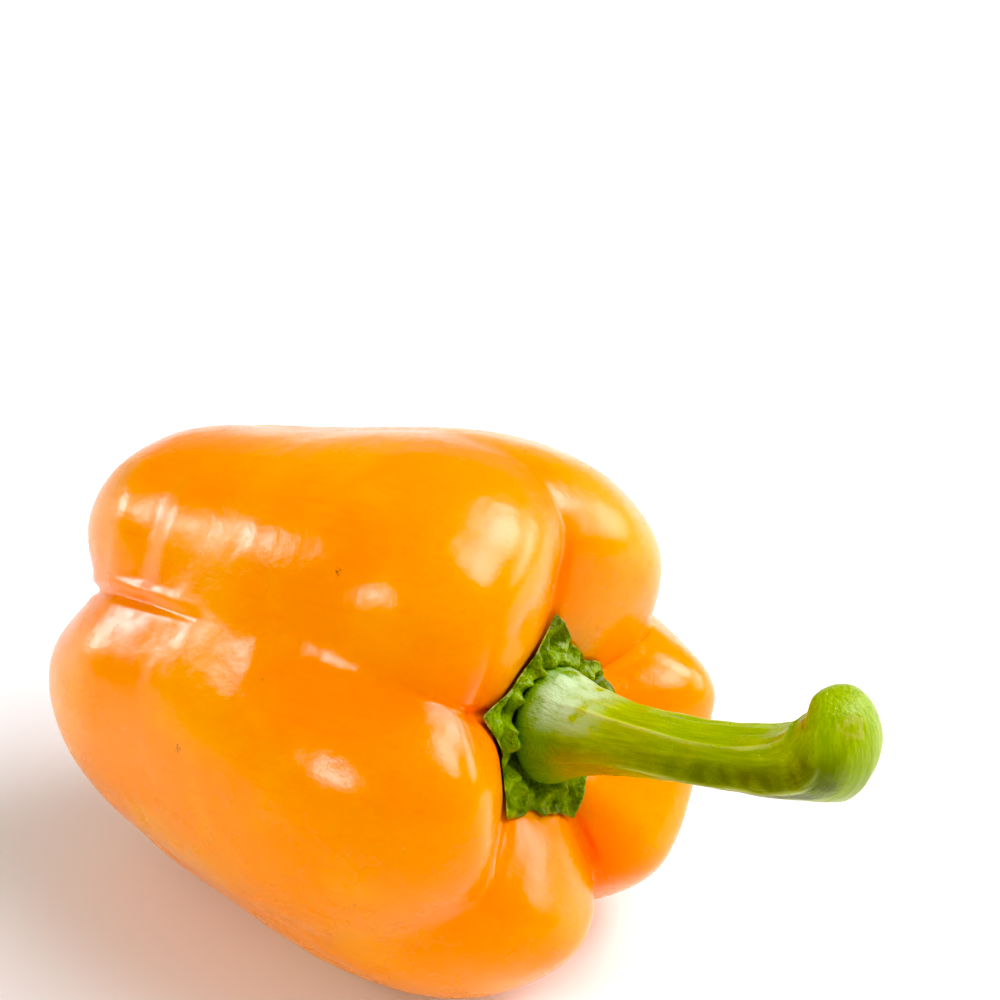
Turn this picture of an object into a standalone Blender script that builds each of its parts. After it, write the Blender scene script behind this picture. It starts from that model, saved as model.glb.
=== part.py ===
"""Bell pepper lying on its side: the lobed fruit, the leafy calyx in the pit at its shoulder, and
the long hooked stem.

The fruit is worked out about its own axis first: z runs up through the stem, the origin is the floor
of the pit that the stem stands in, and angles run counter-clockwise seen from the stem. settle()
then lays it down in the row frame: +Z up, +X from the blossom end to the stem, the ground at z = 0.
Lengths are in millimetres until settle() turns them into metres.
"""

from collections import namedtuple

import bmesh
import bpy
import numpy as np

NAME = "bell_pepper"
GAP = 0.45  # between pieces that touch, measured along the fruit's axis

# How the pepper lies: how far it is rolled about its axis, how far its stem end is raised, and where
# the floor of the pit then stands. What would sink into the ground is pressed flat instead.
ROLL = 58.0
LIFT = 10.5
PIT_AT = (12.31, 0.43, 49.6)

# Each lobe: its largest radius, the height of its shoulder over the pit floor, its radius near the
# blossom end, and its length from the pit floor to the blossom end.
Lobe = namedtuple("Lobe", "side shoulder tip length")
LOBES = (
    Lobe(43.0, 14.5, 31.0, 82.0),
    Lobe(43.0, 10.0, 30.5, 82.0),
    Lobe(45.5, 11.0, 36.0, 83.0),
    Lobe(42.5, 13.0, 30.5, 85.0),
    Lobe(46.0, 15.0, 33.0, 84.0),
    Lobe(46.0, 13.0, 32.5, 83.0),
)

# Each crease lies before the lobe of the same number: its angle at the shoulder and at the blossom
# end, how high a saddle it leaves in the shoulder, and how deep it cuts shoulder, side and tip.
Crease = namedtuple("Crease", "at_shoulder at_tip saddle shoulder_cut side_cut tip_cut")
CREASES = (
    Crease(-8.5, -5.5, 0.95, 0.01, 0.01, 0.0),
    Crease(35.0, 37.0, 0.29, 0.10, 0.07, 0.20),
    Crease(107.0, 96.5, 0.63, 0.03, 0.045, -0.03),
    Crease(176.5, 165.5, 0.52, 0.19, 0.08, 0.215),
    Crease(237.5, 251.5, 0.64, 0.07, 0.04, 0.065),
    Crease(306.5, 300.5, 0.53, 0.16, 0.075, 0.15),
)

# Rings of control points from the pit to the blossom end. A ring's radius is in millimetres or a
# factor on the lobe's side or tip radius, its height in millimetres or a factor on the lobe's
# shoulder or length. The next five say how much of each crease depth counts there: the three cuts,
# the saddle in the shoulder and the notch at the blossom end. cusp is how softly the crease closes.
Ring = namedtuple("Ring", "radius of height along shoulder side tip saddle notch cusp")
RINGS = (
    Ring(0.0, "mm", 0.0, "mm", 0.0, 0.0, 0.0, 0.0, 0.0, 0.10),
    Ring(6.5, "mm", 0.0, "mm", 0.0, 0.0, 0.0, 0.0, 0.0, 0.10),
    Ring(11.8, "mm", 1.55, "mm", 0.0, 0.0, 0.0, 0.0, 0.0, 0.10),
    Ring(15.4, "mm", 0.53, "shoulder", 0.0, 0.0, 0.0, 0.53, 0.0, 0.10),
    Ring(0.60, "side", 0.97, "shoulder", 0.35, 0.0, 0.0, 1.0, 0.0, 0.12),
    Ring(0.785, "side", 1.17, "shoulder", 0.8, 0.0, 0.0, 1.15, 0.0, 0.14),
    Ring(1.045, "side", 0.05, "shoulder", 1.0, 0.0, 0.0, 0.55, 0.0, 0.18),
    Ring(1.095, "side", -0.235, "length", 0.35, 0.65, 0.0, 0.0, 0.0, 0.30),
    Ring(1.015, "side", -0.487, "length", 0.0, 1.0, 0.0, 0.0, 0.0, 0.45),
    Ring(1.08, "both", -0.68, "length", 0.0, 0.75, 0.25, 0.0, 0.0, 0.40),
    Ring(1.145, "tip", -0.928, "length", 0.0, 0.1, 0.9, 0.0, 0.15, 0.20),
    Ring(0.645, "tip", -1.083, "length", 0.0, 0.0, 1.0, 0.0, 0.35, 0.16),
    Ring(0.305, "tip", -0.99, "length", 0.0, 0.4, 0.6, 0.0, 0.3, 0.20),
    Ring(0.0, "tip", -0.92, "length", 0.0, 0.0, 0.0, 0.0, 0.0, 0.20),
)
SHOULDER_RING, TIP_RING = 4, 11  # a crease turns from its shoulder angle to its tip angle between these
PIT_RINGS = 6.0  # up to here the fruit only rises away from the pit

# The calyx: a leafy disc that lines the pit, with one pointed tip in each crease.
CALYX_THICK = 1.3
CALYX_REACH = 14.0
CALYX_TIPS = (3.0, 3.6, 5.6, 6.6, 3.8, 4.4)
TIP_HALF_ANGLE = 26.0

# The stem: control points of its centre line (distance along the fruit's axis, rise above it) and
# of its outline (distance along the centre line, radius).
STEM_LINE = (
    (0.0, 0.9),
    (12.0, 0.9),
    (25.0, 1.6),
    (37.0, 2.5),
    (47.0, 3.9),
    (54.5, 5.7),
    (61.5, 9.5),
    (61.5, 18.5),
)
STEM_OUTLINE = (
    (2.3, 0.0),
    (2.4, 4.5),
    (3.4, 8.6),
    (5.5, 10.1),
    (9.0, 8.8),
    (13.5, 6.4),
    (22.0, 5.4),
    (36.0, 5.0),
    (46.0, 5.3),
    (54.0, 6.0),
    (59.5, 7.2),
    (64.5, 7.2),
    (68.5, 6.2),
    (71.5, 4.8),
    (72.5, 2.4),
    (72.5, 0.0),
)
STEM_RIDGES = 5
RIDGE_DEPTH = 0.05
RIDGES_FROM, RIDGES_TO = 8.0, 64.0

FRUIT_MESH = (72, 44)
CALYX_MESH = (72, 14)
STEM_MESH = (30, 40)

# Base colour and roughness of each piece.
COLOURS = {
    "fruit": ((0.95, 0.33, 0.01, 1.0), 0.25),
    "calyx": ((0.13, 0.27, 0.04, 1.0), 0.55),
    "stem": ((0.27, 0.45, 0.07, 1.0), 0.45),
}


def clear_scene():
    for obj in list(bpy.data.objects):
        bpy.data.objects.remove(obj)


def spline(points, t):
    """A uniform cubic B-spline. points holds a ghost point at each end, so t runs from 0 to len - 3."""
    k = np.minimum(t.astype(int), len(points) - 4)
    f = (t - k).reshape((-1,) + (1,) * (points.ndim - 1))
    first = (1 - f) ** 3 / 6
    second = (3 * f**3 - 6 * f**2 + 4) / 6
    third = (-3 * f**3 + 3 * f**2 + 3 * f + 1) / 6
    fourth = f**3 / 6
    return first * points[k] + second * points[k + 1] + third * points[k + 2] + fourth * points[k + 3]


def column(rows, field):
    return np.array([getattr(row, field) for row in rows])


def beside(values):
    """For each crease, the mean of the lobes on its two sides."""
    return (np.roll(values, 1) + values) / 2


def crease_weights(angles, creases, cusp):
    """Each angle's lobe, its nearest crease, and a weight from 0 on the crest to 1 in the crease."""
    wrapped = np.mod(angles - creases[0], 360.0) + creases[0]
    edges = np.append(creases, creases[0] + 360.0)
    lobe = np.clip(np.searchsorted(edges, wrapped, side="right") - 1, 0, len(creases) - 1)
    low, high = edges[lobe], edges[lobe + 1]
    across = (wrapped - (low + high) / 2) / ((high - low) / 2)
    inward = 1 - np.abs(across)
    soft = (np.sqrt(inward**2 + cusp**2) - cusp) / (np.sqrt(1 + cusp**2) - cusp)
    crease = np.where(across < 0, lobe, (lobe + 1) % len(creases))
    return lobe, crease, (1 - soft) ** 2


def crest_radius(ring):
    """The ring's radius on each lobe."""
    if ring.of == "mm":
        return np.full(len(LOBES), ring.radius)
    if ring.of == "both":
        return ring.radius * (column(LOBES, "side") + column(LOBES, "tip")) / 2
    return ring.radius * column(LOBES, ring.of)


def crest_height(ring):
    """The ring's height on each lobe. The last ring is the single point at the blossom end."""
    if ring.along == "mm":
        return np.full(len(LOBES), ring.height)
    height = ring.height * column(LOBES, ring.along)
    return np.full(len(LOBES), height.mean()) if ring is RINGS[-1] else height


def control_ring(number, angles):
    """The radius and height of one ring of control points at each angle."""
    ring = RINGS[number]
    turned = np.clip((number - SHOULDER_RING) / (TIP_RING - SHOULDER_RING), 0, 1)
    creases = column(CREASES, "at_shoulder") * (1 - turned) + column(CREASES, "at_tip") * turned
    lobe, crease, weight = crease_weights(angles, creases, ring.cusp)
    radius, height = crest_radius(ring), crest_height(ring)
    cut = ring.shoulder * column(CREASES, "shoulder_cut")
    cut += ring.side * column(CREASES, "side_cut")
    cut += ring.tip * column(CREASES, "tip_cut")
    dip = ring.saddle * beside(column(LOBES, "shoulder")) * (1 - column(CREASES, "saddle"))
    notch = ring.notch * column(CREASES, "tip_cut") * beside(height)
    crease_radius = beside(radius) * (1 - cut)
    crease_height = beside(height) - dip - notch
    return np.stack(
        [
            radius[lobe] + (crease_radius[crease] - radius[lobe]) * weight,
            height[lobe] + (crease_height[crease] - height[lobe]) * weight,
        ],
        axis=-1,
    )


def fruit_profiles(angles, t):
    """Radius and height at each t, from 0 in the pit to 13 at the blossom end, and each angle."""
    rings = np.stack([control_ring(number, angles) for number in range(len(RINGS))])
    across_axis = np.array([-1.0, 1.0])
    rings = np.concatenate([rings[1:2] * across_axis, rings, rings[-2:-1] * across_axis])
    return spline(rings, t)


def pit_height(angles, radii):
    """The height of the fruit's surface in and round the pit."""
    profiles = fruit_profiles(angles, np.linspace(0.0, PIT_RINGS, 120))
    columns = zip(radii, profiles[..., 0].T, profiles[..., 1].T)
    return np.array([np.interp(radius, across, up) for radius, across, up in columns])


def around(angles, radius, height):
    turn = np.radians(angles)
    return np.stack([radius * np.cos(turn), radius * np.sin(turn), height], axis=-1)


def fruit_point(segment, ring, segments, rings):
    angles = 360.0 * np.arange(segments) / segments
    profiles = fruit_profiles(angles, np.linspace(0.0, len(RINGS) - 1.0, rings + 1))
    radius, height = profiles[ring, segment].T
    return around(angles[segment], radius, height)


def calyx_reach(angles):
    """How far the calyx's edge is from the axis."""
    reach = np.full(len(angles), CALYX_REACH)
    for crease, tip in zip(CREASES, CALYX_TIPS):
        off = np.abs(np.mod(angles - crease.at_shoulder + 180.0, 360.0) - 180.0)
        reach += tip * np.clip(1 - off / TIP_HALF_ANGLE, 0, 1) ** 1.5
    return reach


def calyx_point(segment, ring, segments, rings):
    """The upper half of the sphere becomes the disc's upper face, the lower half its lower face."""
    angle = (360.0 * np.arange(segments) / segments)[segment]
    polar = np.pi * ring / rings
    outward = np.sin(polar)
    radius = outward * calyx_reach(angle)
    thick = CALYX_THICK * np.sqrt(np.clip(1 - outward**4, 0, 1))
    share = np.where(polar < np.pi / 2, 1.0, 0.0)
    middle = CALYX_THICK / 2
    height = pit_height(angle, radius) + GAP + middle + (share - 0.5) * thick
    return around(angle, radius, height)


def with_ghosts(points):
    points = np.array(points)
    return np.concatenate([[2 * points[0] - points[1]], points, [2 * points[-1] - points[-2]]])


def stem_line(distance):
    """The centre line's point and direction, each as (along the axis, rise), at each distance."""
    line = spline(with_ghosts(STEM_LINE), np.linspace(0.0, len(STEM_LINE) - 1.0, 400))
    steps = np.diff(line, axis=0)
    lengths = np.linalg.norm(steps, axis=1)
    so_far = np.concatenate([[0.0], np.cumsum(lengths)])
    middles = (so_far[1:] + so_far[:-1]) / 2
    point = np.stack([np.interp(distance, so_far, line[:, k]) for k in range(2)], axis=-1)
    # Past the last control point the stem goes straight on.
    point += np.clip(distance - so_far[-1], 0, None)[:, None] * steps[-1] / lengths[-1]
    ahead = np.stack([np.interp(distance, middles, steps[:, k] / lengths) for k in range(2)], axis=-1)
    return point, ahead / np.linalg.norm(ahead, axis=1)[:, None]


def stem_point(segment, ring, segments, rings):
    """The sphere's top is the cut end of the stem and its bottom the foot."""
    outline = spline(with_ghosts(STEM_OUTLINE), np.linspace(len(STEM_OUTLINE) - 1.0, 0.0, rings + 1))
    distance, radius = outline[ring].T
    turn = 2 * np.pi * segment / segments
    fade = np.clip((distance - RIDGES_FROM) / 6, 0, 1) * np.clip((RIDGES_TO - distance) / 6, 0, 1)
    radius = radius * (1 + RIDGE_DEPTH * fade * np.cos(STEM_RIDGES * turn))
    point, ahead = stem_line(distance)
    across = radius * np.cos(turn)
    along_axis = point[:, 0] - across * ahead[:, 1]
    rise = point[:, 1] + across * ahead[:, 0]
    up, aside = np.radians(180.0 - ROLL), np.radians(270.0 - ROLL)
    sideways = radius * np.sin(turn)
    x = rise * np.cos(up) + sideways * np.cos(aside)
    y = rise * np.sin(up) + sideways * np.sin(aside)
    return np.stack([x, y, along_axis], axis=-1)


def settle(points):
    """Rolls the pepper, lays it down, stands it on the ground, and turns millimetres into metres."""
    roll, pitch = np.radians(ROLL), np.radians(90.0 - LIFT)
    rolled = np.array([[np.cos(roll), -np.sin(roll), 0], [np.sin(roll), np.cos(roll), 0], [0, 0, 1]])
    laid = np.array([[np.cos(pitch), 0, np.sin(pitch)], [0, 1, 0], [-np.sin(pitch), 0, np.cos(pitch)]])
    points = points @ (laid @ rolled).T + np.array(PIT_AT)
    points[:, 2] = np.maximum(points[:, 2], 0.0)
    return points / 1000


def material(name):
    colour, roughness = COLOURS[name]
    made = bpy.data.materials.new(name)
    made.use_nodes = True
    shader = made.node_tree.nodes["Principled BSDF"]
    shader.inputs["Base Color"].default_value = colour
    shader.inputs["Roughness"].default_value = roughness
    shader.inputs["Metallic"].default_value = 0.0
    return made


def add_piece(name, mesh_size, point_of, collection):
    """A sphere whose vertices are moved to where point_of puts them."""
    segments, rings = mesh_size
    shape = bmesh.new()
    bmesh.ops.create_uvsphere(shape, u_segments=segments, v_segments=rings, radius=1.0)
    start = np.array([vertex.co for vertex in shape.verts])
    polar = np.arccos(np.clip(start[:, 2], -1, 1))
    turn = np.arctan2(start[:, 1], start[:, 0])
    ring = np.rint(polar / np.pi * rings).astype(int)
    segment = np.rint(turn / (2 * np.pi) * segments).astype(int) % segments
    for vertex, point in zip(shape.verts, settle(point_of(segment, ring, segments, rings))):
        vertex.co = point
    mesh = bpy.data.meshes.new(name)
    shape.to_mesh(mesh)
    shape.free()
    mesh.materials.append(material(name))
    mesh.shade_smooth()
    collection.objects.link(bpy.data.objects.new(name, mesh))


def main():
    clear_scene()
    collection = bpy.data.collections.new(NAME)
    bpy.context.scene.collection.children.link(collection)
    add_piece("fruit", FRUIT_MESH, fruit_point, collection)
    add_piece("calyx", CALYX_MESH, calyx_point, collection)
    add_piece("stem", STEM_MESH, stem_point, collection)


main()
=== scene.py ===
from collections import namedtuple

import bpy
import numpy as np
from mathutils import Matrix, Vector, noise


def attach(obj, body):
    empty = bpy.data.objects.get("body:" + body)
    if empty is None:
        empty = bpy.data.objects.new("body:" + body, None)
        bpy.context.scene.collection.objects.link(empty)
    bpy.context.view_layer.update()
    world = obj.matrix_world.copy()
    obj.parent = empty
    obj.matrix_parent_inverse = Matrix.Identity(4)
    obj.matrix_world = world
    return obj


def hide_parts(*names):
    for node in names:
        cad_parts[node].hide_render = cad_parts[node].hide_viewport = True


# The looks of the bell pepper. Fruit, calyx and stem are worked out from the same lobes, creases and
# stem line as the CAD part, on finer meshes, and get the small shapes that the CAD leaves out: the
# grooves in the creases, dents and swellings, the wrinkled calyx, the fine ribs and scar of the stem.
#
# Each piece is worked out about the fruit's own axis: z runs up through the stem, the origin is the
# floor of the pit, angles run counter-clockwise seen from the stem, lengths are millimetres.
# settle() lays it down in the row frame, in metres.

# ---------------------------------------------------------------- the design, as in the CAD part
# How the pepper lies: how far it is rolled about its axis, how far its stem end is raised, and where
# the floor of the pit then stands. What would sink into the ground is pressed flat instead.
ROLL = 58.0
LIFT = 10.5
PIT_AT = (12.31, 0.43, 49.6)
# The gap between pieces that touch, along the fruit's axis.
GAP = 0.45

# Each lobe: its largest radius, the height of its shoulder over the pit floor, its radius near the
# blossom end, and its length from the pit floor to the blossom end.
Lobe = namedtuple("Lobe", "side shoulder tip length")
LOBES = (
    Lobe(43.0, 14.5, 31.0, 82.0),
    Lobe(43.0, 10.0, 30.5, 82.0),
    Lobe(45.5, 11.0, 36.0, 83.0),
    Lobe(42.5, 13.0, 30.5, 85.0),
    Lobe(46.0, 15.0, 33.0, 84.0),
    Lobe(46.0, 13.0, 32.5, 83.0),
)

# Each crease lies before the lobe of the same number: its angle at the shoulder and at the blossom
# end, how high a saddle it leaves in the shoulder, and how deep it cuts shoulder, side and tip.
Crease = namedtuple("Crease", "at_shoulder at_tip saddle shoulder_cut side_cut tip_cut")
CREASES = (
    Crease(-8.5, -5.5, 0.95, 0.01, 0.01, 0.0),
    Crease(35.0, 37.0, 0.29, 0.10, 0.07, 0.20),
    Crease(107.0, 96.5, 0.63, 0.03, 0.045, -0.03),
    Crease(176.5, 165.5, 0.52, 0.19, 0.08, 0.215),
    Crease(237.5, 251.5, 0.64, 0.07, 0.04, 0.065),
    Crease(306.5, 300.5, 0.53, 0.16, 0.075, 0.15),
)

# Rings of control points from the pit to the blossom end. A ring's radius is in millimetres or a
# factor on the lobe's side or tip radius, its height in millimetres or a factor on the lobe's
# shoulder or length. The next five say how much of each crease depth counts there: the three cuts,
# the saddle in the shoulder and the notch at the blossom end. cusp is how softly the crease closes.
Ring = namedtuple("Ring", "radius of height along shoulder side tip saddle notch cusp")
RINGS = (
    Ring(0.0, "mm", 0.0, "mm", 0.0, 0.0, 0.0, 0.0, 0.0, 0.10),
    Ring(6.5, "mm", 0.0, "mm", 0.0, 0.0, 0.0, 0.0, 0.0, 0.10),
    Ring(11.8, "mm", 1.55, "mm", 0.0, 0.0, 0.0, 0.0, 0.0, 0.10),
    Ring(15.4, "mm", 0.53, "shoulder", 0.0, 0.0, 0.0, 0.53, 0.0, 0.10),
    Ring(0.60, "side", 0.97, "shoulder", 0.35, 0.0, 0.0, 1.0, 0.0, 0.12),
    Ring(0.785, "side", 1.17, "shoulder", 0.8, 0.0, 0.0, 1.15, 0.0, 0.14),
    Ring(1.045, "side", 0.05, "shoulder", 1.0, 0.0, 0.0, 0.55, 0.0, 0.18),
    Ring(1.095, "side", -0.235, "length", 0.35, 0.65, 0.0, 0.0, 0.0, 0.30),
    Ring(1.015, "side", -0.487, "length", 0.0, 1.0, 0.0, 0.0, 0.0, 0.45),
    Ring(1.08, "both", -0.68, "length", 0.0, 0.75, 0.25, 0.0, 0.0, 0.40),
    Ring(1.145, "tip", -0.928, "length", 0.0, 0.1, 0.9, 0.0, 0.15, 0.20),
    Ring(0.645, "tip", -1.083, "length", 0.0, 0.0, 1.0, 0.0, 0.35, 0.16),
    Ring(0.305, "tip", -0.99, "length", 0.0, 0.4, 0.6, 0.0, 0.3, 0.20),
    Ring(0.0, "tip", -0.92, "length", 0.0, 0.0, 0.0, 0.0, 0.0, 0.20),
)
# A crease turns from its shoulder angle to its tip angle between these rings.
SHOULDER_RING, TIP_RING = 4, 11
# Up to this ring the fruit only rises away from the pit.
PIT_RINGS = 6.0

# The calyx: a leafy disc that lines the pit, with one pointed tip in each crease.
CALYX_THICK = 1.3
CALYX_REACH = 14.0
CALYX_TIPS = (3.0, 3.6, 5.6, 6.6, 3.8, 4.4)
TIP_HALF_ANGLE = 26.0

# The stem: control points of its centre line (distance along the fruit's axis, rise above it) and
# of its outline (distance along the centre line, radius).
STEM_LINE = (
    (0.0, 0.9),
    (12.0, 0.9),
    (25.0, 1.6),
    (37.0, 2.5),
    (47.0, 3.9),
    (54.5, 5.7),
    (61.5, 9.5),
    (61.5, 18.5),
)
STEM_OUTLINE = (
    (2.3, 0.0),
    (2.4, 4.5),
    (3.4, 8.6),
    (5.5, 10.1),
    (9.0, 8.8),
    (13.5, 6.4),
    (22.0, 5.4),
    (36.0, 5.0),
    (46.0, 5.3),
    (54.0, 6.0),
    (59.5, 7.2),
    (64.5, 7.2),
    (68.5, 6.2),
    (71.5, 4.8),
    (72.5, 2.4),
    (72.5, 0.0),
)
STEM_RIDGES = 5
RIDGE_DEPTH = 0.05
RIDGES_FROM, RIDGES_TO = 8.0, 64.0

# ---------------------------------------------------------------- meshes
# Columns round each piece and rows along it.
FRUIT_MESH = (396, 240)
CALYX_MESH = (360, 90)
STEM_MESH = (200, 300)
# How much closer the fruit's columns stand beside the creases, from 0 to 1.
COLUMNS_TO_CREASES = 0.6

# ---------------------------------------------------------------- small shapes of the fruit
# Shallow waves all over the skin: size across, height, and where the noise is read.
Wave = namedtuple("Wave", "size height seed")
WAVES = (
    Wave(15.0, 0.22, 3.1),
    Wave(5.0, 0.066, 11.7),
)

# How deep each crease is cut near the stem and near the blossom end, how wide, and the lip beside it.
Groove = namedtuple("Groove", "shoulder tip width lip")
GROOVES = (
    Groove(0.0, 0.0, 1.5, 0.0),
    Groove(0.35, 0.5, 1.3, 0.0),
    Groove(0.8, 0.2, 1.3, 0.0),
    Groove(0.9, 0.8, 0.9, 0.4),
    Groove(0.6, 0.3, 1.5, 0.1),
    Groove(1.0, 0.5, 1.3, 0.2),
)
# The middle and half-length of the grooves at the stem, and of the painted shade, reddish orange, beside
# them, in rings.
SHOULDER_GROOVE = (3.9, 1.3)
SHOULDER_SHADE = (4.3, 1.8)
# The rings where the grooves at the blossom end begin, are full, start to fade, and end.
TIP_GROOVE = (7.9, 8.9, 11.0, 12.5)
# How far the painted shade beside each crease reaches, in millimetres, and its share in the creases at
# the blossom end.
CREASE_SHADE_WIDTH = 8.0
TIP_SHADE = 0.7
# The middle and half-length, in rings, of the yellower skin at the stem.
STEM_END = (4.0, 1.9)

# Swellings and dents of the lobes: angle, ring, half-widths round and along the lobe, and rise.
Swelling = namedtuple("Swelling", "angle ring round along rise")
SWELLINGS = (
    Swelling(150.0, 9.50, 12.0, 3.6, 0.40),
    Swelling(152.0, 9.02, 11.0, 3.0, -0.50),
    Swelling(153.0, 8.70, 11.0, 2.0, 0.25),
    Swelling(150.0, 8.20, 13.0, 5.0, -0.30),
    Swelling(148.0, 7.40, 13.0, 5.5, 0.40),
    Swelling(186.0, 9.40, 9.0, 6.0, 0.50),
    Swelling(183.0, 8.60, 8.0, 4.0, -0.25),
    Swelling(181.0, 8.00, 8.0, 3.5, 0.20),
    Swelling(180.0, 7.60, 8.0, 3.0, -0.20),
    Swelling(179.0, 7.25, 8.0, 3.5, 0.20),
    Swelling(27.5, 4.10, 7.5, 8.0, 2.60),
    Swelling(75.0, 8.0, 12.0, 9.0, -0.40),
    Swelling(60.0, 9.3, 12.0, 6.0, 0.40),
    Swelling(270.0, 8.3, 12.0, 9.0, -0.40),
    Swelling(10.0, 8.6, 14.0, 8.0, 0.40),
    Swelling(330.0, 7.7, 12.0, 10.0, -0.40),
)

# ---------------------------------------------------------------- small shapes of the calyx and stem
# How far the calyx's edge is torn in and out, and how high its wrinkles stand.
RAGGED_EDGE = 0.7
LEAF_RELIEF = 1.1
LEAF_FOLDS = 19
# The raised rim round the foot of the stem: radius, half-width, height, and how much that varies.
RIM_RADIUS = 11.2
RIM_WIDTH = 1.5
RIM_HEIGHT = 2.1
RIM_RAGGED = 1.2
# The wrinkles start under the foot of the stem and are full at its edge.
WRINKLES_FROM, WRINKLES_FULL = 8.0, 11.0
EDGE_LIFT = 0.35

# The angle of the first rib from the top of the stem, and how far the ribs wander.
FIRST_RIB = 33.0
RIB_SWAY = 0.12
RIB_FADE = 6.0
# The thin raised line on each rib.
CREST_WIDTH = 0.16
CREST_HEIGHT = 0.4
FIBRE_HEIGHT = 0.10
LUMP_HEIGHT = 0.25
# The inner side of the hooked end slopes in: share of the radius, where, and half-length.
HOOK_SLOPE = 0.30
HOOK_SLOPE_AT = 70.0
HOOK_SLOPE_LENGTH = 4.5

# ---------------------------------------------------------------- colours
ORANGE = (0.98, 0.225, 0.0, 1.0)
YELLOW_ORANGE = (0.98, 0.285, 0.0, 1.0)
# Reddish orange: painted shade beside the creases, and faint streaks in the skin.
RED_ORANGE = (0.98, 0.12, 0.0, 1.0)
SPECK = (0.55, 0.13, 0.01, 1.0)
SKIN_SCAR = (0.35, 0.07, 0.01, 1.0)
# Scars of the skin, the last at the blossom end: place on the fruit and radius.
SKIN_SCARS = (
    ((-40.7, -14.1, -38.4), 0.55),
    ((-41.4, 19.8, -12.3), 0.35),
    ((16.8, 12.5, 2.8), 0.45),
    ((18.9, 13.6, 3.6), 0.35),
    ((0.0, 0.0, -76.5), 1.5),
)

LEAF = (0.15, 0.26, 0.004, 1.0)
LEAF_PALE = (0.28, 0.44, 0.03, 1.0)
# Dark green: painted shade in the calyx's hollows, and its dark spots.
LEAF_DARK = (0.03, 0.07, 0.002, 1.0)
LEAF_EDGE = (0.5, 0.44, 0.14, 1.0)

STEM = (0.22, 0.34, 0.005, 1.0)
STEM_LIGHT = (0.34, 0.46, 0.02, 1.0)
# Painted shade on the lower side of the stem.
STEM_SHADE = (0.05, 0.085, 0.002, 1.0)
STEM_OLIVE = (0.27, 0.23, 0.003, 1.0)
STEM_FROST = (0.42, 0.60, 0.33, 1.0)
STEM_FOOT = (0.10, 0.24, 0.006, 1.0)
STEM_CREST = (0.50, 0.58, 0.14, 1.0)
STEM_CUT = (0.20, 0.12, 0.02, 1.0)
STEM_SCAR = (0.50, 0.44, 0.10, 1.0)
# The round scar on the hooked end, on the stem before it is bent: z runs along it.
STEM_SCAR_AT = (-4.6, 3.0, 69.0)

FLOOR = (0.86, 0.86, 0.86, 1.0)
FLOOR_LIGHT = (0.9, 0.9, 0.9, 1.0)

# ---------------------------------------------------------------- stage
FLOOR_HALF = 3.0

# Softboxes, a metre from the pepper: where they stand, their size, and their power.
Softbox = namedtuple("Softbox", "name azimuth elevation width height power")
SOFTBOXES = (
    Softbox("key", 155.0, 44.0, 0.75, 0.8, 18.0),
    Softbox("key_side", 108.0, 56.0, 0.85, 0.75, 17.0),
    Softbox("key_low", 146.0, 16.0, 1.2, 0.4, 8.0),
    Softbox("front_window", -14.0, 22.0, 0.26, 0.34, 7.0),
    Softbox("left_strip", -80.0, 8.0, 0.24, 0.3, 3.8),
    Softbox("left_window", -64.0, 22.0, 0.34, 0.28, 3.4),
)
SOFTBOX_DISTANCE = 1.0
LIT_POINT = (0.0, 0.0, 0.045)
SKY = 0.38
# The share of blue that the film leaves out.
BLUE_HAZE = 0.06

# Where the camera stands, seen from the point it is aimed at, and the width of its view there.
CAMERA_AZIMUTH, CAMERA_ELEVATION = 36.4, 33.1
CAMERA_DISTANCE = 0.509
AIM_OVER_PIT = (-0.0156, 0.0134, 0.0307)
VIEW_WIDTH = 0.1653
SENSOR_WIDTH = 36.0


# ---------------------------------------------------------------- the shape, as in the CAD part
def spline(points, t):
    """A uniform cubic B-spline. points holds a ghost point at each end, so t runs from 0 to len - 3."""
    k = np.minimum(t.astype(int), len(points) - 4)
    f = (t - k).reshape((-1,) + (1,) * (points.ndim - 1))
    first = (1 - f) ** 3 / 6
    second = (3 * f**3 - 6 * f**2 + 4) / 6
    third = (-3 * f**3 + 3 * f**2 + 3 * f + 1) / 6
    fourth = f**3 / 6
    return first * points[k] + second * points[k + 1] + third * points[k + 2] + fourth * points[k + 3]


def column(rows, field):
    """One field of every row of a table."""
    return np.array([getattr(row, field) for row in rows])


def beside(values):
    """For each crease, the mean of the lobes on its two sides."""
    return (np.roll(values, 1) + values) / 2


def crease_weights(angles, creases, cusp):
    """Each angle's lobe, its nearest crease, and a weight from 0 on the crest to 1 in the crease."""
    wrapped = np.mod(angles - creases[0], 360.0) + creases[0]
    edges = np.append(creases, creases[0] + 360.0)
    lobe = np.clip(np.searchsorted(edges, wrapped, side="right") - 1, 0, len(creases) - 1)
    low, high = edges[lobe], edges[lobe + 1]
    across = (wrapped - (low + high) / 2) / ((high - low) / 2)
    inward = 1 - np.abs(across)
    soft = (np.sqrt(inward**2 + cusp**2) - cusp) / (np.sqrt(1 + cusp**2) - cusp)
    crease = np.where(across < 0, lobe, (lobe + 1) % len(creases))
    return lobe, crease, (1 - soft) ** 2


def crease_angles(ring_number):
    """The angle of each crease at a ring, which may lie between two rings."""
    turned = np.clip((ring_number - SHOULDER_RING) / (TIP_RING - SHOULDER_RING), 0, 1)
    return column(CREASES, "at_shoulder") * (1 - turned) + column(CREASES, "at_tip") * turned


def crest_radius(ring):
    """The ring's radius on each lobe."""
    if ring.of == "mm":
        return np.full(len(LOBES), ring.radius)
    if ring.of == "both":
        return ring.radius * (column(LOBES, "side") + column(LOBES, "tip")) / 2
    return ring.radius * column(LOBES, ring.of)


def crest_height(ring):
    """The ring's height on each lobe. The last ring is the single point at the blossom end."""
    if ring.along == "mm":
        return np.full(len(LOBES), ring.height)
    height = ring.height * column(LOBES, ring.along)
    return np.full(len(LOBES), height.mean()) if ring is RINGS[-1] else height


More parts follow.
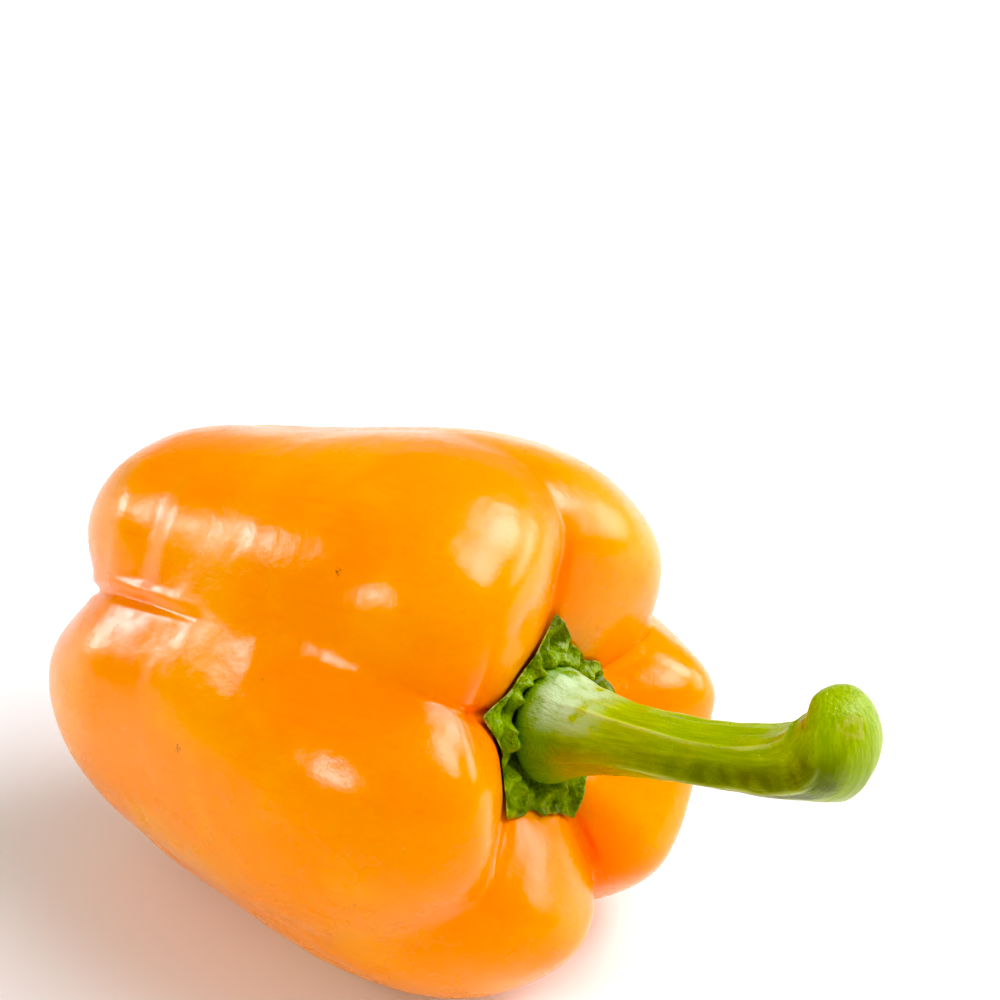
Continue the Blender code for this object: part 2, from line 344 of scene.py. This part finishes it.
def control_ring(number, angles):
    """The radius and height of one ring of control points at each angle."""
    ring = RINGS[number]
    lobe, crease, weight = crease_weights(angles, crease_angles(number), ring.cusp)
    radius, height = crest_radius(ring), crest_height(ring)
    cut = ring.shoulder * column(CREASES, "shoulder_cut")
    cut += ring.side * column(CREASES, "side_cut")
    cut += ring.tip * column(CREASES, "tip_cut")
    dip = ring.saddle * beside(column(LOBES, "shoulder")) * (1 - column(CREASES, "saddle"))
    notch = ring.notch * column(CREASES, "tip_cut") * beside(height)
    crease_radius = beside(radius) * (1 - cut)
    crease_height = beside(height) - dip - notch
    return np.stack(
        [
            radius[lobe] + (crease_radius[crease] - radius[lobe]) * weight,
            height[lobe] + (crease_height[crease] - height[lobe]) * weight,
        ],
        axis=-1,
    )


def fruit_profiles(angles, t):
    """Radius and height at each t, from 0 in the pit to 13 at the blossom end, and each angle."""
    rings = np.stack([control_ring(number, angles) for number in range(len(RINGS))])
    across_axis = np.array([-1.0, 1.0])
    rings = np.concatenate([rings[1:2] * across_axis, rings, rings[-2:-1] * across_axis])
    return spline(rings, t)


def pit_height(angles, radii):
    """The height of the fruit's surface in and round the pit: one angle per row of radii."""
    profiles = fruit_profiles(angles, np.linspace(0.0, PIT_RINGS, 200))
    columns = zip(radii, profiles[..., 0].T, profiles[..., 1].T)
    return np.array([np.interp(radius, across, up) for radius, across, up in columns])


def around(angles, radius, height):
    """Points round the fruit's axis."""
    turn = np.radians(angles)
    return np.stack([radius * np.cos(turn), radius * np.sin(turn), height], axis=-1)


def settle(points):
    """Rolls the pepper, lays it down, stands it on the ground, and turns millimetres into metres."""
    roll, pitch = np.radians(ROLL), np.radians(90.0 - LIFT)
    rolled = np.array([[np.cos(roll), -np.sin(roll), 0], [np.sin(roll), np.cos(roll), 0], [0, 0, 1]])
    laid = np.array([[np.cos(pitch), 0, np.sin(pitch)], [0, 1, 0], [-np.sin(pitch), 0, np.cos(pitch)]])
    points = points @ (laid @ rolled).T + np.array(PIT_AT)
    points[..., 2] = np.maximum(points[..., 2], 0.0)
    return points / 1000


def grid_normals(grid):
    """Outward normals of a closed grid (ring, segment, xyz) whose rings run from the top pole down."""
    down = np.gradient(grid, axis=0)
    round_ = np.roll(grid, -1, axis=1) - np.roll(grid, 1, axis=1)
    normal = np.cross(down, round_)
    length = np.linalg.norm(normal, axis=-1, keepdims=True)
    normal = normal / np.maximum(length, 1e-9)
    normal[0] = normal[1].mean(axis=0)
    normal[-1] = normal[-2].mean(axis=0)
    return normal


def bumps(points, size, seed, octaves=2):
    """Smooth noise, about -1 to 1, with bumps of about this size in millimetres."""
    flat = points.reshape(-1, 3) / size + seed
    values = np.zeros(len(flat))
    for octave in range(octaves):
        scale, share = 2.0**octave, 0.5**octave
        values += share * np.array([noise.noise(Vector(p)) for p in flat * scale])
    return values.reshape(points.shape[:-1])


def hump(x, centre, half_width):
    """A smooth hump of height 1."""
    return np.exp(-(((x - centre) / half_width) ** 2))


def fade(x, nothing, full):
    """0 at nothing, 1 at full, straight between, and flat beyond."""
    return np.clip((x - nothing) / (full - nothing), 0, 1)


def mesh_from_grid(name, grid, attributes):
    """A closed mesh from a grid (ring, segment, xyz): its first and last rings are single points."""
    rings, segments = grid.shape[0] - 1, grid.shape[1]
    vertices = np.concatenate([grid[:1, 0], grid[1:-1].reshape(-1, 3), grid[-1:, 0]])
    last = len(vertices) - 1
    here = np.arange(segments)
    beyond = (here + 1) % segments
    faces = [(0, 1 + a, 1 + b) for a, b in zip(here, beyond)]
    for ring in range(rings - 2):
        upper, lower = 1 + ring * segments, 1 + (ring + 1) * segments
        faces += [(upper + a, lower + a, lower + b, upper + b) for a, b in zip(here, beyond)]
    upper = 1 + (rings - 2) * segments
    faces += [(upper + a, last, upper + b) for a, b in zip(here, beyond)]
    mesh = bpy.data.meshes.new(name)
    mesh.from_pydata([tuple(v) for v in vertices], [], faces)
    for label, values in attributes.items():
        kind, key = ("FLOAT_VECTOR", "vector") if values.ndim == 3 else ("FLOAT", "value")
        stored = mesh.attributes.new(label, kind, "POINT")
        between = values[1:-1].reshape((-1,) + values.shape[2:])
        listed = np.concatenate([values[:1, 0], between, values[-1:, 0]])
        stored.data.foreach_set(key, listed.astype(np.float32).ravel())
    mesh.shade_smooth()
    mesh.update()
    piece = bpy.data.objects.new(name, mesh)
    bpy.context.scene.collection.objects.link(piece)
    return piece


# ---------------------------------------------------------------- pieces
def column_angles(t, segments):
    """Angles of the mesh's columns at t: they follow the creases, and stand closer beside them."""
    creases = crease_angles(t)
    edges = np.append(creases, creases[0] + 360.0)
    place = len(creases) * np.arange(segments) / segments
    lobe = place.astype(int)
    part = place - lobe
    part = part - COLUMNS_TO_CREASES * np.sin(2 * np.pi * part) / (2 * np.pi)
    return edges[lobe] + part * (edges[lobe + 1] - edges[lobe])


def turn_between(angles, other):
    """How far each angle is turned from the other, from -180 to 180."""
    return np.mod(angles - other + 180.0, 360.0) - 180.0


def from_crease(number, t, angles, radius):
    """How far each point of the fruit is from a crease, round the fruit."""
    middle = np.array([crease_angles(value)[number] for value in t])[:, None]
    return np.radians(turn_between(angles, middle)) * radius


def at_tip(rows):
    """1 where the grooves at the blossom end are full, fading to 0 on both sides."""
    begin, full, fading, end = TIP_GROOVE
    return fade(rows, begin, full) * fade(rows, end, fading)


def groove_relief(rows, away, groove):
    """A groove along a crease, and the lip on one side of it at the blossom end."""
    cut = groove.shoulder * hump(rows, *SHOULDER_GROOVE) + groove.tip * at_tip(rows)
    lip = groove.lip * at_tip(rows) * hump(away, -2.0 * groove.width, 1.3 * groove.width)
    return lip - cut * hump(away, 0.0, groove.width)


def crease_shading(rows, away, groove):
    """How much painted shade, reddish orange, the skin gets beside a crease, from 0 to 1."""
    strength = groove.shoulder * hump(rows, *SHOULDER_SHADE) + TIP_SHADE * groove.tip * at_tip(rows)
    return np.clip(strength, 0, 1) * hump(away, 0.0, CREASE_SHADE_WIDTH)


def swelling_relief(t, angles, radius, grid):
    """All swellings and dents. Their lengths are measured on the skin, from the pit down each column."""
    steps = np.linalg.norm(np.diff(grid, axis=0), axis=-1)
    down = np.concatenate([np.zeros_like(steps[:1]), steps]).cumsum(axis=0)
    relief = np.zeros_like(radius)
    for swelling in SWELLINGS:
        sideways = np.radians(turn_between(angles, swelling.angle)) * radius
        along = down - down[np.searchsorted(t, swelling.ring)]
        relief += swelling.rise * hump(sideways, 0.0, swelling.round) * hump(along, 0.0, swelling.along)
    return relief


def make_fruit():
    segments, rings = FRUIT_MESH
    t = np.linspace(0.0, len(RINGS) - 1.0, rings + 1)
    angles = np.stack([column_angles(value, segments) for value in t])
    profiles = np.concatenate([fruit_profiles(row, t[k : k + 1]) for k, row in enumerate(angles)])
    radius, height = profiles[..., 0], profiles[..., 1]
    grid = around(angles, radius, height)
    rows = t[:, None]
    # The pit stays smooth, so that the calyx fits it.
    out_of_pit = fade(rows, 3.0, 4.5)
    relief = sum(out_of_pit * wave.height * bumps(grid, wave.size, wave.seed) for wave in WAVES)
    # Painted shade: the skin beside each crease is painted reddish orange.
    crease_shade = np.zeros_like(radius)
    for number, groove in enumerate(GROOVES):
        away = from_crease(number, t, angles, radius)
        relief += groove_relief(rows, away, groove)
        crease_shade = np.maximum(crease_shade, crease_shading(rows, away, groove))
    relief += swelling_relief(t, angles, radius, grid)
    grid = grid + grid_normals(grid) * relief[..., None]
    stem_end = np.broadcast_to(hump(rows, *STEM_END), radius.shape)
    piece = mesh_from_grid("pepper_skin", settle(grid), {"grown": grid, "crease_shade": crease_shade, "stem_end": stem_end})
    piece.data.materials.append(skin_material())
    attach(piece, "root")
    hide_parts("fruit")


def calyx_reach(angles):
    """How far the calyx's edge is from the axis."""
    reach = np.full(len(angles), CALYX_REACH)
    for crease, tip in zip(CREASES, CALYX_TIPS):
        off = np.abs(turn_between(angles, crease.at_shoulder))
        reach += tip * np.clip(1 - off / TIP_HALF_ANGLE, 0, 1) ** 1.5
    return reach


def leaf_wrinkles(angles, radius):
    """Folds that run outward, sharp ridges between hollows, and fine wrinkles."""
    turn = np.radians(angles)[None, :]
    flat = around(angles[None, :], radius, np.zeros_like(radius))
    folds = np.sin(LEAF_FOLDS * turn + 2.2 * np.sin(3 * turn) + 0.25 * radius)
    ridges = 0.9 - 3.0 * np.abs(bumps(flat, 5.5, 5.3))
    return 0.5 * folds + ridges + 0.4 * bumps(flat, 1.6, 8.1)


def make_calyx():
    """The first half of the grid is the leaf's upper face, the second half its lower face."""
    segments, rings = CALYX_MESH
    angles = 360.0 * np.arange(segments) / segments
    polar = np.pi * np.arange(rings + 1) / rings
    outward = np.sin(polar)[:, None]
    ragged = bumps(around(angles, 11.0, np.zeros(segments)), 3.0, 1.7)[None, :]
    radius = outward * (calyx_reach(angles) + RAGGED_EDGE * ragged)
    thick = CALYX_THICK * np.sqrt(np.clip(1 - outward**6, 0, 1)) * (1 - 0.45 * outward**2)
    rim = hump(radius, RIM_RADIUS, RIM_WIDTH) * (RIM_HEIGHT + RIM_RAGGED * ragged)
    wrinkles = leaf_wrinkles(angles, radius) * fade(radius, WRINKLES_FROM, WRINKLES_FULL)
    raised = (rim + LEAF_RELIEF * wrinkles) * (1 - outward**10)
    lower = pit_height(angles, radius.T).T + GAP + EDGE_LIFT * outward**6 * (1 + ragged)
    is_upper = (polar < np.pi / 2)[:, None]
    height = lower + np.where(is_upper, thick + np.maximum(raised, -0.3 * thick), 0.0)
    grid = around(angles[None, :], radius, height)
    edge = np.broadcast_to(outward**16, radius.shape)
    # Where painted shade goes: low in the hollows between the wrinkles, high on the raised parts.
    hollow_shade_mask = np.clip(0.4 + 0.6 * raised, 0, 1)
    piece = mesh_from_grid("calyx_leaf", settle(grid), {"grown": grid, "edge": edge, "hollow_shade_mask": hollow_shade_mask})
    piece.data.materials.append(leaf_material())
    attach(piece, "root")
    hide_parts("calyx")


def with_ghosts(points):
    """The points with one more at each end, so that the spline passes through the first and the last."""
    points = np.array(points)
    return np.concatenate([[2 * points[0] - points[1]], points, [2 * points[-1] - points[-2]]])


def stem_line(distance):
    """The centre line's point and direction, each as (along the axis, rise), at each distance."""
    line = spline(with_ghosts(STEM_LINE), np.linspace(0.0, len(STEM_LINE) - 1.0, 400))
    steps = np.diff(line, axis=0)
    lengths = np.linalg.norm(steps, axis=1)
    so_far = np.concatenate([[0.0], np.cumsum(lengths)])
    middles = (so_far[1:] + so_far[:-1]) / 2
    point = np.stack([np.interp(distance, so_far, line[:, k]) for k in range(2)], axis=-1)
    # Past the last control point the stem goes straight on.
    point += np.clip(distance - so_far[-1], 0, None)[:, None] * steps[-1] / lengths[-1]
    ahead = np.stack([np.interp(distance, middles, steps[:, k] / lengths) for k in range(2)], axis=-1)
    return point, ahead / np.linalg.norm(ahead, axis=1)[:, None]


def bend_stem(distance, radius, turn):
    """Lays the straight stem along its centre line. Turn 0 is its upper side."""
    point, ahead = stem_line(distance[:, 0])
    across, sideways = radius * np.cos(turn), radius * np.sin(turn)
    along_axis = point[:, :1] - across * ahead[:, 1:]
    rise = point[:, 1:] + across * ahead[:, :1]
    up, aside = np.radians(180.0 - ROLL), np.radians(270.0 - ROLL)
    x = rise * np.cos(up) + sideways * np.cos(aside)
    y = rise * np.sin(up) + sideways * np.sin(aside)
    return np.stack([x, y, along_axis], axis=-1)


def make_stem():
    segments, rings = STEM_MESH
    outline = spline(with_ghosts(STEM_OUTLINE), np.linspace(len(STEM_OUTLINE) - 1.0, 0.0, rings + 1))
    turns = 2 * np.pi * np.arange(segments)[None, :] / segments
    distance, base, turn = np.broadcast_arrays(outline[:, :1], outline[:, 1:], turns)
    around_stem = np.stack([np.cos(turn), np.sin(turn), np.zeros_like(turn)], axis=-1)
    straight = around_stem * (base + 0.01)[..., None]
    straight[..., 2] = distance
    ribbed = fade(distance, RIDGES_FROM, RIDGES_FROM + RIB_FADE)
    ribbed = ribbed * fade(distance, RIDGES_TO, RIDGES_TO - RIB_FADE)
    off_rib = turn - np.radians(FIRST_RIB) + RIB_SWAY * np.sin(distance / 9.0)
    ridges = 1 + RIDGE_DEPTH * ribbed * np.cos(STEM_RIDGES * off_rib)
    crests = ribbed * hump(np.sin(STEM_RIDGES / 2 * off_rib), 0.0, CREST_WIDTH)
    fibres = FIBRE_HEIGHT * bumps(around_stem * 5.0 + np.array([0, 0, 0.03]) * straight, 1.3, 2.2)
    lumps = LUMP_HEIGHT * bumps(straight, 7.0, 9.4)
    radius = base * ridges + (fibres + lumps) * fade(base, 0.0, 5.0) + CREST_HEIGHT * crests
    inner_side = np.clip(np.cos(turn), 0, 1)
    radius = radius * (1 - HOOK_SLOPE * hump(distance, HOOK_SLOPE_AT, HOOK_SLOPE_LENGTH) * inner_side)
    piece = mesh_from_grid(
        "stem_skin",
        settle(bend_stem(distance, radius, turn)),
        {"straight": straight, "round": around_stem, "along": distance, "rib": crests},
    )
    piece.data.materials.append(stem_material())
    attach(piece, "root")
    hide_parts("stem")


# ---------------------------------------------------------------- node helpers
def new_material(name):
    made = bpy.data.materials.new(name)
    made.use_nodes = True
    tree = made.node_tree
    tree.nodes.clear()
    output = tree.nodes.new("ShaderNodeOutputMaterial")
    shader = tree.nodes.new("ShaderNodeBsdfPrincipled")
    tree.links.new(shader.outputs["BSDF"], output.inputs["Surface"])
    return made, tree, shader


def plug(tree, socket, value):
    """Links a socket to another, or sets its own value."""
    if isinstance(value, bpy.types.NodeSocket):
        tree.links.new(value, socket)
    else:
        socket.default_value = value


def add(tree, kind, inputs=None, **settings):
    node = tree.nodes.new("ShaderNode" + kind)
    for key, value in settings.items():
        setattr(node, key, value)
    for key, value in (inputs or {}).items():
        plug(tree, node.inputs[key], value)
    return node


def attribute(tree, name, output="Fac"):
    """A value that the mesh stores at its vertices."""
    return add(tree, "Attribute", attribute_name=name).outputs[output]


def noise_of(tree, vector, scale, detail=2.0, roughness=0.5):
    inputs = {"Vector": vector, "Scale": scale, "Detail": detail, "Roughness": roughness}
    return add(tree, "TexNoise", inputs).outputs["Fac"]


def ramp(tree, value, low, high, to_low=0.0, to_high=1.0):
    """Maps value from low..high to to_low..to_high, clamped and smooth."""
    inputs = {"Value": value, "From Min": low, "From Max": high, "To Min": to_low, "To Max": to_high}
    return add(tree, "MapRange", inputs, interpolation_type="SMOOTHSTEP").outputs["Result"]


def sum_of(tree, first, second):
    return add(tree, "Math", {0: first, 1: second}, operation="ADD").outputs[0]


def product(tree, first, *others):
    for other in others:
        first = add(tree, "Math", {0: first, 1: other}, operation="MULTIPLY").outputs[0]
    return first


def distance_to(tree, vector, place):
    return add(tree, "VectorMath", {0: vector, 1: place}, operation="DISTANCE").outputs["Value"]


def painted(tree, under, colour, amount):
    """The colour under, with another laid over it by this amount."""
    node = add(tree, "Mix", data_type="RGBA")
    plug(tree, node.inputs["Factor"], amount)
    plug(tree, node.inputs[6], under)
    plug(tree, node.inputs[7], colour)
    return node.outputs[2]


def stretched(tree, vector, scale):
    """Scales a vector by axis: a small scale draws a pattern out along that axis."""
    return add(tree, "Mapping", {"Vector": vector, "Scale": scale}).outputs["Vector"]


def bump(tree, height, distance, normal=None):
    inputs = {"Height": height, "Distance": distance, "Strength": 1.0}
    if normal is not None:
        inputs["Normal"] = normal
    return add(tree, "Bump", inputs).outputs["Normal"]


# ---------------------------------------------------------------- materials
def skin_colour(tree, grown):
    """Orange in soft patches, yellower at the stem, with painted shade in reddish orange beside the
    creases, and with specks and scars.
    """
    patches = noise_of(tree, grown, 0.04, 3.0)
    colour = painted(tree, ORANGE, YELLOW_ORANGE, ramp(tree, patches, 0.4, 0.62))
    colour = painted(tree, colour, YELLOW_ORANGE, product(tree, attribute(tree, "stem_end"), 0.5))
    # Painted shade: reddish orange beside the creases.
    colour = painted(tree, colour, RED_ORANGE, product(tree, attribute(tree, "crease_shade"), 0.85))
    streaks = noise_of(tree, stretched(tree, grown, (1.0, 1.0, 0.12)), 0.9, 3.0)
    colour = painted(tree, colour, RED_ORANGE, ramp(tree, streaks, 0.5, 0.75, 0.0, 0.2))
    specks = add(tree, "TexVoronoi", {"Vector": grown, "Scale": 0.16}).outputs["Distance"]
    colour = painted(tree, colour, SPECK, ramp(tree, specks, 0.02, 0.045, 0.75, 0.0))
    ragged = ramp(tree, noise_of(tree, grown, 2.5), 0.3, 0.7, -0.5, 0.5)
    for place, radius in SKIN_SCARS:
        away = sum_of(tree, distance_to(tree, grown, place), ragged)
        colour = painted(tree, colour, SKIN_SCAR, ramp(tree, away, radius, 0.5 * radius))
    return colour


def skin_material():
    made, tree, shader = new_material("pepper_skin")
    grown = attribute(tree, "grown", "Vector")
    plug(tree, shader.inputs["Base Color"], skin_colour(tree, grown))
    smudges = noise_of(tree, grown, 0.12, 4.0)
    plug(tree, shader.inputs["Roughness"], ramp(tree, smudges, 0.3, 0.7, 0.2, 0.3))
    normal = bump(tree, noise_of(tree, grown, 0.3, 2.0), 0.00012)
    normal = bump(tree, noise_of(tree, grown, 2.6, 2.0, 0.7), 0.00003, normal)
    plug(tree, shader.inputs["Normal"], normal)
    plug(tree, shader.inputs["Coat Normal"], normal)
    shader.inputs["Specular IOR Level"].default_value = 0.4
    shader.inputs["Coat Weight"].default_value = 0.25
    shader.inputs["Coat Roughness"].default_value = 0.12
    shader.inputs["Subsurface Weight"].default_value = 0.12
    shader.inputs["Subsurface Radius"].default_value = (1.0, 0.35, 0.08)
    shader.inputs["Subsurface Scale"].default_value = 0.003
    return made


def leaf_colour(tree, grown, mottle):
    """Painted shade in the hollows, mottled pale and dark, and dry here and there along the edge."""
    # Painted shade: dark green in the hollows, the leaf's green on the raised parts.
    colour = painted(tree, LEAF_DARK, LEAF, ramp(tree, attribute(tree, "hollow_shade_mask"), 0.15, 0.9))
    colour = painted(tree, colour, LEAF_PALE, ramp(tree, mottle, 0.45, 0.7, 0.0, 0.7))
    spots = noise_of(tree, grown, 1.6, 3.0)
    colour = painted(tree, colour, LEAF_DARK, ramp(tree, spots, 0.5, 0.7, 0.0, 0.6))
    edge = ramp(tree, attribute(tree, "edge"), 0.7, 1.0)
    return painted(tree, colour, LEAF_EDGE, product(tree, edge, ramp(tree, mottle, 0.4, 0.6)))


def leaf_material():
    made, tree, shader = new_material("calyx_leaf")
    grown = attribute(tree, "grown", "Vector")
    mottle = noise_of(tree, grown, 0.45, 4.0)
    plug(tree, shader.inputs["Base Color"], leaf_colour(tree, grown, mottle))
    plug(tree, shader.inputs["Roughness"], ramp(tree, mottle, 0.3, 0.7, 0.2, 0.38))
    plug(tree, shader.inputs["Normal"], bump(tree, noise_of(tree, grown, 1.1, 4.0, 0.6), 0.001))
    shader.inputs["Specular IOR Level"].default_value = 0.35
    shader.inputs["Coat Weight"].default_value = 0.3
    shader.inputs["Coat Roughness"].default_value = 0.12
    return made


def shaft_colour(tree, along, upward, fibres, mottle):
    """Fibrous green, with painted shade on its lower side, and a pale line on each rib."""
    colour = painted(tree, STEM, STEM_LIGHT, ramp(tree, fibres, 0.35, 0.7))
    # Painted shade: darker green along the lower side of the shaft, but not along its very bottom, not at
    # the hooked end, and half as strong near the foot.
    dark = product(
        tree,
        ramp(tree, upward, 0.75, 0.1),
        ramp(tree, upward, -0.85, -0.6),
        ramp(tree, along, 69.0, 62.0),
        ramp(tree, along, 22.0, 42.0, 0.5, 1.0),
        ramp(tree, mottle, 0.3, 0.6, 0.65, 1.0),
    )
    colour = painted(tree, colour, STEM_SHADE, dark)
    crest = product(tree, attribute(tree, "rib"), ramp(tree, fibres, 0.3, 0.6, 0.3, 0.9))
    return painted(tree, colour, STEM_CREST, crest)


def foot_colour(tree, colour, along, upward, mottle):
    """The swollen foot: deep green, frosted above, with an olive patch below where the shaft begins."""
    colour = painted(tree, colour, STEM_FOOT, ramp(tree, along, 13.0, 8.0))
    frost = product(
        tree,
        ramp(tree, along, 20.0, 12.0),
        ramp(tree, upward, 0.25, 0.85),
        ramp(tree, mottle, 0.3, 0.55),
        ramp(tree, along, 4.5, 9.0, 0.1, 1.0),
    )
    colour = painted(tree, colour, STEM_FROST, frost)
    olive = product(
        tree,
        ramp(tree, along, 9.0, 13.0),
        ramp(tree, along, 27.0, 18.0),
        ramp(tree, upward, 0.3, -0.1),
        0.85,
    )
    return painted(tree, colour, STEM_OLIVE, olive)


def end_colour(tree, colour, along, upward, straight):
    """The hooked end: a thin brown line on its inner side, and a faint ring-shaped scar."""
    cut = product(
        tree,
        ramp(tree, upward, 0.4, 0.8),
        ramp(tree, along, 67.0, 67.5),
        ramp(tree, along, 68.3, 67.8),
    )
    colour = painted(tree, colour, STEM_CUT, cut)
    ragged = ramp(tree, noise_of(tree, straight, 0.8, 3.0), 0.3, 0.7, -0.6, 0.6)
    away = sum_of(tree, distance_to(tree, straight, STEM_SCAR_AT), ragged)
    scar = product(tree, ramp(tree, away, 2.2, 1.6), ramp(tree, away, 0.7, 1.4, 0.4, 1.0), 0.5)
    return painted(tree, colour, STEM_SCAR, scar)


def stem_material():
    made, tree, shader = new_material("stem_skin")
    straight = attribute(tree, "straight", "Vector")
    along = attribute(tree, "along")
    # 1 on the upper side of the stem, -1 on the lower side.
    upward = add(tree, "SeparateXYZ", {"Vector": attribute(tree, "round", "Vector")}).outputs["X"]
    fibres = noise_of(tree, stretched(tree, straight, (1.0, 1.0, 0.07)), 1.4, 4.0, 0.6)
    mottle = noise_of(tree, straight, 0.3, 4.0)
    colour = shaft_colour(tree, along, upward, fibres, mottle)
    colour = foot_colour(tree, colour, along, upward, mottle)
    colour = end_colour(tree, colour, along, upward, straight)
    plug(tree, shader.inputs["Base Color"], colour)
    plug(tree, shader.inputs["Roughness"], ramp(tree, mottle, 0.3, 0.7, 0.25, 0.42))
    normal = bump(tree, fibres, 0.00035)
    normal = bump(tree, noise_of(tree, straight, 1.8, 3.0), 0.00012, normal)
    plug(tree, shader.inputs["Normal"], normal)
    return made


def floor_material():
    made, tree, shader = new_material("studio_floor")
    place = add(tree, "TexCoord").outputs["Object"]
    tone = ramp(tree, noise_of(tree, place, 3.0), 0.2, 0.8)
    plug(tree, shader.inputs["Base Color"], painted(tree, FLOOR, FLOOR_LIGHT, tone))
    shader.inputs["Roughness"].default_value = 0.9
    return made


# ---------------------------------------------------------------- stage
def direction(azimuth, elevation):
    """Unit vector: azimuth 0 stands in front, at -Y, and 90 at +X."""
    a, e = np.radians([azimuth, elevation])
    return Vector((np.sin(a) * np.cos(e), -np.cos(a) * np.cos(e), np.sin(e)))


def facing(place, target):
    """A matrix that stands at place and looks at target."""
    turn = (target - place).to_track_quat("-Z", "Y").to_matrix().to_4x4()
    return Matrix.Translation(place) @ turn


def make_floor():
    mesh = bpy.data.meshes.new("studio_floor")
    half = FLOOR_HALF
    corners = [(-half, -half, 0), (half, -half, 0), (half, half, 0), (-half, half, 0)]
    mesh.from_pydata(corners, [], [(0, 1, 2, 3)])
    floor = bpy.data.objects.new("studio_floor", mesh)
    bpy.context.scene.collection.objects.link(floor)
    floor.data.materials.append(floor_material())


def soften_edges(light):
    """The light fades out from its middle to its edges, as a softbox does."""
    light.use_nodes = True
    tree = light.node_tree
    place = add(tree, "NewGeometry").outputs["Parametric"]
    away = distance_to(tree, place, (0.5, 0.5, 0.0))
    plug(tree, tree.nodes["Emission"].inputs["Strength"], ramp(tree, away, 0.5, 0.15))


def make_softbox(box):
    light = bpy.data.lights.new(box.name, "AREA")
    light.shape = "RECTANGLE"
    light.size, light.size_y = box.width, box.height
    light.energy = box.power
    soften_edges(light)
    lamp = bpy.data.objects.new(box.name, light)
    bpy.context.scene.collection.objects.link(lamp)
    target = Vector(LIT_POINT)
    lamp.matrix_world = facing(target + direction(box.azimuth, box.elevation) * SOFTBOX_DISTANCE, target)


def make_sky():
    world = bpy.data.worlds.new("studio")
    world.use_nodes = True
    background = world.node_tree.nodes["Background"]
    background.inputs["Color"].default_value = (1.0, 1.0, 1.0, 1.0)
    background.inputs["Strength"].default_value = SKY
    bpy.context.scene.world = world


def make_camera():
    aim = Vector(PIT_AT) / 1000 + Vector(AIM_OVER_PIT)
    lens = bpy.data.cameras.new("camera")
    lens.sensor_width = SENSOR_WIDTH
    lens.lens = SENSOR_WIDTH * CAMERA_DISTANCE / VIEW_WIDTH
    lens.clip_start = 0.01
    camera = bpy.data.objects.new("camera", lens)
    bpy.context.scene.collection.objects.link(camera)
    camera.matrix_world = facing(aim + direction(CAMERA_AZIMUTH, CAMERA_ELEVATION) * CAMERA_DISTANCE, aim)
    bpy.context.scene.camera = camera


def set_film():
    """Standard film, with the little blue haze taken out that a white room adds to an orange skin."""
    view = bpy.context.scene.view_settings
    view.view_transform = "Standard"
    view.use_curve_mapping = True
    view.curve_mapping.black_level = (0.0, 0.0, BLUE_HAZE)
    view.curve_mapping.update()


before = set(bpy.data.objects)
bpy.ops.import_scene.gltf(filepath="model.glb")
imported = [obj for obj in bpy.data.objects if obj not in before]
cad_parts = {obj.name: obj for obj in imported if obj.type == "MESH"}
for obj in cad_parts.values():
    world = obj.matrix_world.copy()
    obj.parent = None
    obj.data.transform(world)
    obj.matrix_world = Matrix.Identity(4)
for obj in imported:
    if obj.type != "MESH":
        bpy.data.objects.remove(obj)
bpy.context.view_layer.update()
set_film()
make_fruit()
make_calyx()
make_stem()
make_floor()
for box in SOFTBOXES:
    make_softbox(box)
make_sky()
make_camera()
